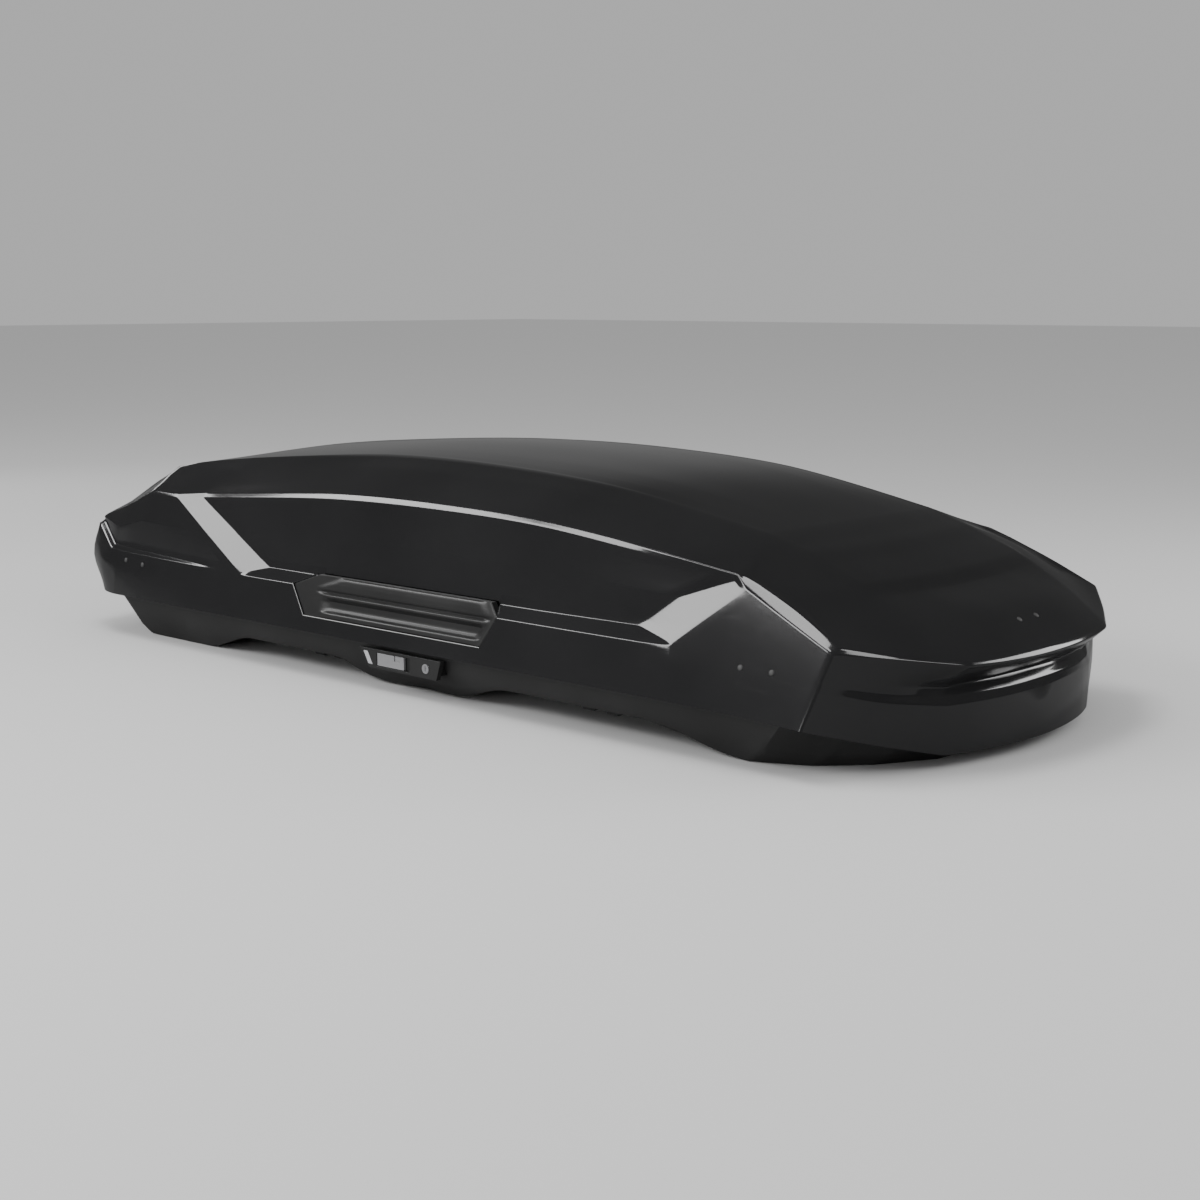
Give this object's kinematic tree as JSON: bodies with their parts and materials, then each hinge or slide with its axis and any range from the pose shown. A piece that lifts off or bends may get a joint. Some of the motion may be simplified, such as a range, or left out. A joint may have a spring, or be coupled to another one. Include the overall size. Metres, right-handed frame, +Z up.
{
  "type": "roof cargo box",
  "caption": "Long, low roof cargo box with a domed gloss lid that hinges open from either side, sliding latches, key locks and crossbar clamps.",
  "frame": {"origin": "centre of the box in plan, on the plane that the floor bulges stand on", "axes": "+X along the box towards the nose, +Y to the left side of the vehicle, +Z up"},
  "size_m": [2.1902, 0.9144, 0.4395],
  "materials": {
    "lid_gloss": "high-gloss black acrylic-capped plastic",
    "base_plastic": "fine-grained matte black",
    "handle_satin": "satin black, ribbed",
    "lock_panel": "satin black",
    "lock_lens": "pale moulded lens",
    "lock_grip": "pale grey satin",
    "key_metal": "polished",
    "zinc_steel": "zinc plated",
    "stay_alu": "satin",
    "dark_nylon": "glass-filled, dull",
    "knob_plastic": "soft-touch grey",
    "jaw_rubber": "dull black",
    "webbing": "woven polyester"
  },
  "bodies": {
    "root": {"base_shell": "base_plastic", "rear_floor_plate": "zinc_steel", "front_floor_plate": "zinc_steel", "right_lock_housing": "lock_panel", "left_lock_housing": "lock_panel", "right_lock_lens": "lock_lens", "left_lock_lens": "lock_lens", "right_latch_sockets": "base_plastic", "left_latch_sockets": "base_plastic", "stay_feet": "base_plastic", "base_rivets": "zinc_steel", "rear_load_strap": "webbing", "front_load_strap": "webbing"},
    "right_latch": {"right_lock_slider": "lock_grip", "right_latch_bar": "zinc_steel"},
    "left_latch": {"left_lock_slider": "lock_grip", "left_latch_bar": "zinc_steel"},
    "right_key": {"right_key_cylinder": "key_metal", "right_lock_cam": "zinc_steel"},
    "left_key": {"left_key_cylinder": "key_metal", "left_lock_cam": "zinc_steel"},
    "right_pivots": {"right_pivot_arms": "dark_nylon"},
    "left_pivots": {"left_pivot_arms": "dark_nylon"},
    "lid": {"lid_shell": "lid_gloss", "right_handle": "handle_satin", "left_handle": "handle_satin", "right_hinge_lugs": "zinc_steel", "left_hinge_lugs": "zinc_steel", "right_pivot_pins": "zinc_steel", "left_pivot_pins": "zinc_steel", "rear_stay_beam": "dark_nylon", "front_stay_beam": "dark_nylon", "lid_rivets": "dark_nylon"},
    "rear_right_clamp": {"rear_right_clamp_body": "dark_nylon"},
    "rear_right_clamp_knob": {"rear_right_clamp_knob": "knob_plastic"},
    "rear_right_clamp_jaw_a": {"rear_right_clamp_jaw_a": "jaw_rubber"},
    "rear_right_clamp_jaw_b": {"rear_right_clamp_jaw_b": "jaw_rubber"},
    "rear_left_clamp": {"rear_left_clamp_body": "dark_nylon"},
    "rear_left_clamp_knob": {"rear_left_clamp_knob": "knob_plastic"},
    "rear_left_clamp_jaw_a": {"rear_left_clamp_jaw_a": "jaw_rubber"},
    "rear_left_clamp_jaw_b": {"rear_left_clamp_jaw_b": "jaw_rubber"},
    "front_right_clamp": {"front_right_clamp_body": "dark_nylon"},
    "front_right_clamp_knob": {"front_right_clamp_knob": "knob_plastic"},
    "front_right_clamp_jaw_a": {"front_right_clamp_jaw_a": "jaw_rubber"},
    "front_right_clamp_jaw_b": {"front_right_clamp_jaw_b": "jaw_rubber"},
    "front_left_clamp": {"front_left_clamp_body": "dark_nylon"},
    "front_left_clamp_knob": {"front_left_clamp_knob": "knob_plastic"},
    "front_left_clamp_jaw_a": {"front_left_clamp_jaw_a": "jaw_rubber"},
    "front_left_clamp_jaw_b": {"front_left_clamp_jaw_b": "jaw_rubber"},
    "front_stay_foot": {"front_stay_foot_pin": "zinc_steel"},
    "front_stay_lower": {"front_stay_lower_arm": "stay_alu"},
    "front_stay_elbow": {"front_stay_elbow_pin": "zinc_steel"},
    "front_stay_upper": {"front_stay_upper_arm": "stay_alu"},
    "rear_stay_foot": {"rear_stay_foot_pin": "zinc_steel"},
    "rear_stay_lower": {"rear_stay_lower_arm": "stay_alu"},
    "rear_stay_elbow": {"rear_stay_elbow_pin": "zinc_steel"},
    "rear_stay_upper": {"rear_stay_upper_arm": "stay_alu"}
  },
  "joints": [
    {"name": "lid_open_right_side", "type": "hinge", "parent": "root", "child": "right_pivots", "pos_m": [0, 0.44, 0.104], "axis": [-1, 0, 0], "range_deg": [0, 45]},
    {"name": "lid_open_left_side", "type": "hinge", "parent": "right_pivots", "child": "lid", "pos_m": [0, -0.44, 0.104], "axis": [1, 0, 0], "range_deg": [0, 45]},
    {"name": "left_pivots_stay_latched", "type": "hinge", "parent": "lid", "child": "left_pivots", "pos_m": [0, 0.44, 0.104], "axis": [1, 0, 0], "range_deg": [0, 45]},
    {"name": "right_lock_slide", "type": "slide", "parent": "root", "child": "right_latch", "axis": [1, 0, 0], "range_m": [0, 0.018]},
    {"name": "right_key_turn", "type": "hinge", "parent": "root", "child": "right_key", "pos_m": [0.072, -0.44, 0.0605], "axis": [0, 1, 0], "range_deg": [0, 90]},
    {"name": "left_lock_slide", "type": "slide", "parent": "root", "child": "left_latch", "axis": [1, 0, 0], "range_m": [0, 0.018]},
    {"name": "left_key_turn", "type": "hinge", "parent": "root", "child": "left_key", "pos_m": [0.072, 0.44, 0.0605], "axis": [0, 1, 0], "range_deg": [0, 90]},
    {"name": "rear_right_clamp_slide", "type": "slide", "parent": "root", "child": "rear_right_clamp", "axis": [1, 0, 0], "range_m": [-0.02, 0.02]},
    {"name": "rear_right_clamp_knob_turn", "type": "hinge", "parent": "rear_right_clamp", "child": "rear_right_clamp_knob", "pos_m": [-0.365, -0.3, 0.08], "axis": [0, 0, 1], "range_deg": [0, 720]},
    {"name": "rear_right_clamp_jaw_a_open", "type": "hinge", "parent": "rear_right_clamp", "child": "rear_right_clamp_jaw_a", "pos_m": [-0.325, -0.3, 0.056], "axis": [0, -1, 0], "range_deg": [0, 22]},
    {"name": "rear_right_clamp_jaw_b_open", "type": "hinge", "parent": "rear_right_clamp", "child": "rear_right_clamp_jaw_b", "pos_m": [-0.405, -0.3, 0.056], "axis": [0, 1, 0], "range_deg": [0, 22]},
    {"name": "rear_left_clamp_slide", "type": "slide", "parent": "root", "child": "rear_left_clamp", "axis": [1, 0, 0], "range_m": [-0.02, 0.02]},
    {"name": "rear_left_clamp_knob_turn", "type": "hinge", "parent": "rear_left_clamp", "child": "rear_left_clamp_knob", "pos_m": [-0.365, 0.3, 0.08], "axis": [0, 0, 1], "range_deg": [0, 720]},
    {"name": "rear_left_clamp_jaw_a_open", "type": "hinge", "parent": "rear_left_clamp", "child": "rear_left_clamp_jaw_a", "pos_m": [-0.325, 0.3, 0.056], "axis": [0, -1, 0], "range_deg": [0, 22]},
    {"name": "rear_left_clamp_jaw_b_open", "type": "hinge", "parent": "rear_left_clamp", "child": "rear_left_clamp_jaw_b", "pos_m": [-0.405, 0.3, 0.056], "axis": [0, 1, 0], "range_deg": [0, 22]},
    {"name": "front_right_clamp_slide", "type": "slide", "parent": "root", "child": "front_right_clamp", "axis": [1, 0, 0], "range_m": [-0.02, 0.02]},
    {"name": "front_right_clamp_knob_turn", "type": "hinge", "parent": "front_right_clamp", "child": "front_right_clamp_knob", "pos_m": [0.385, -0.3, 0.08], "axis": [0, 0, 1], "range_deg": [0, 720]},
    {"name": "front_right_clamp_jaw_a_open", "type": "hinge", "parent": "front_right_clamp", "child": "front_right_clamp_jaw_a", "pos_m": [0.425, -0.3, 0.056], "axis": [0, -1, 0], "range_deg": [0, 22]},
    {"name": "front_right_clamp_jaw_b_open", "type": "hinge", "parent": "front_right_clamp", "child": "front_right_clamp_jaw_b", "pos_m": [0.345, -0.3, 0.056], "axis": [0, 1, 0], "range_deg": [0, 22]},
    {"name": "front_left_clamp_slide", "type": "slide", "parent": "root", "child": "front_left_clamp", "axis": [1, 0, 0], "range_m": [-0.02, 0.02]},
    {"name": "front_left_clamp_knob_turn", "type": "hinge", "parent": "front_left_clamp", "child": "front_left_clamp_knob", "pos_m": [0.385, 0.3, 0.08], "axis": [0, 0, 1], "range_deg": [0, 720]},
    {"name": "front_left_clamp_jaw_a_open", "type": "hinge", "parent": "front_left_clamp", "child": "front_left_clamp_jaw_a", "pos_m": [0.425, 0.3, 0.056], "axis": [0, -1, 0], "range_deg": [0, 22]},
    {"name": "front_left_clamp_jaw_b_open", "type": "hinge", "parent": "front_left_clamp", "child": "front_left_clamp_jaw_b", "pos_m": [0.345, 0.3, 0.056], "axis": [0, 1, 0], "range_deg": [0, 22]},
    {"name": "front_stay_foot_turn", "type": "hinge", "parent": "root", "child": "front_stay_foot", "pos_m": [0.69, 0, 0.07], "axis": [1, 0, 0], "range_deg": [0, 23.3]},
    {"name": "front_stay_lower_turn", "type": "hinge", "parent": "front_stay_foot", "child": "front_stay_lower", "pos_m": [0.69, 0, 0.07], "axis": [1, 0, 0], "range_deg": [0, 81.2]},
    {"name": "front_stay_elbow_turn", "type": "hinge", "parent": "front_stay_lower", "child": "front_stay_elbow", "pos_m": [0.69, 0.26077, 0.185], "axis": [-1, 0, 0], "range_deg": [0, 104.3]},
    {"name": "front_stay_upper_turn", "type": "hinge", "parent": "front_stay_elbow", "child": "front_stay_upper", "pos_m": [0.69, 0.26077, 0.185], "axis": [-1, 0, 0], "range_deg": [0, 104.3]},
    {"name": "rear_stay_foot_turn", "type": "hinge", "parent": "root", "child": "rear_stay_foot", "pos_m": [-0.76, 0, 0.07], "axis": [-1, 0, 0], "range_deg": [0, 81.2]},
    {"name": "rear_stay_lower_turn", "type": "hinge", "parent": "rear_stay_foot", "child": "rear_stay_lower", "pos_m": [-0.76, 0, 0.07], "axis": [-1, 0, 0], "range_deg": [0, 23.3]},
    {"name": "rear_stay_elbow_turn", "type": "hinge", "parent": "rear_stay_lower", "child": "rear_stay_elbow", "pos_m": [-0.76, -0.26077, 0.185], "axis": [1, 0, 0], "range_deg": [0, 104.3]},
    {"name": "rear_stay_upper_turn", "type": "hinge", "parent": "rear_stay_elbow", "child": "rear_stay_upper", "pos_m": [-0.76, -0.26077, 0.185], "axis": [1, 0, 0], "range_deg": [0, 104.3]}
  ],
  "couplings": [
    {"joint": "left_pivots_stay_latched", "follows": "lid_open_right_side", "ratio": 1},
    {"joint": "rear_right_clamp_jaw_a_open", "follows": "rear_right_clamp_knob_turn", "ratio": 0.0305},
    {"joint": "rear_right_clamp_jaw_b_open", "follows": "rear_right_clamp_knob_turn", "ratio": 0.0305},
    {"joint": "rear_left_clamp_jaw_a_open", "follows": "rear_left_clamp_knob_turn", "ratio": 0.0305},
    {"joint": "rear_left_clamp_jaw_b_open", "follows": "rear_left_clamp_knob_turn", "ratio": 0.0305},
    {"joint": "front_right_clamp_jaw_a_open", "follows": "front_right_clamp_knob_turn", "ratio": 0.0305},
    {"joint": "front_right_clamp_jaw_b_open", "follows": "front_right_clamp_knob_turn", "ratio": 0.0305},
    {"joint": "front_left_clamp_jaw_a_open", "follows": "front_left_clamp_knob_turn", "ratio": 0.0305},
    {"joint": "front_left_clamp_jaw_b_open", "follows": "front_left_clamp_knob_turn", "ratio": 0.0305},
    {"joint": "front_stay_foot_turn", "follows": "lid_open_right_side", "ratio": 0.5139},
    {"joint": "front_stay_lower_turn", "follows": "lid_open_left_side", "ratio": 1.8001},
    {"joint": "front_stay_elbow_turn", "follows": "lid_open_right_side", "ratio": 2.3141},
    {"joint": "front_stay_upper_turn", "follows": "lid_open_left_side", "ratio": 2.3141},
    {"joint": "rear_stay_foot_turn", "follows": "lid_open_right_side", "ratio": 1.8001},
    {"joint": "rear_stay_lower_turn", "follows": "lid_open_left_side", "ratio": 0.5139},
    {"joint": "rear_stay_elbow_turn", "follows": "lid_open_right_side", "ratio": 2.3141},
    {"joint": "rear_stay_upper_turn", "follows": "lid_open_left_side", "ratio": 2.3141}
  ]
}
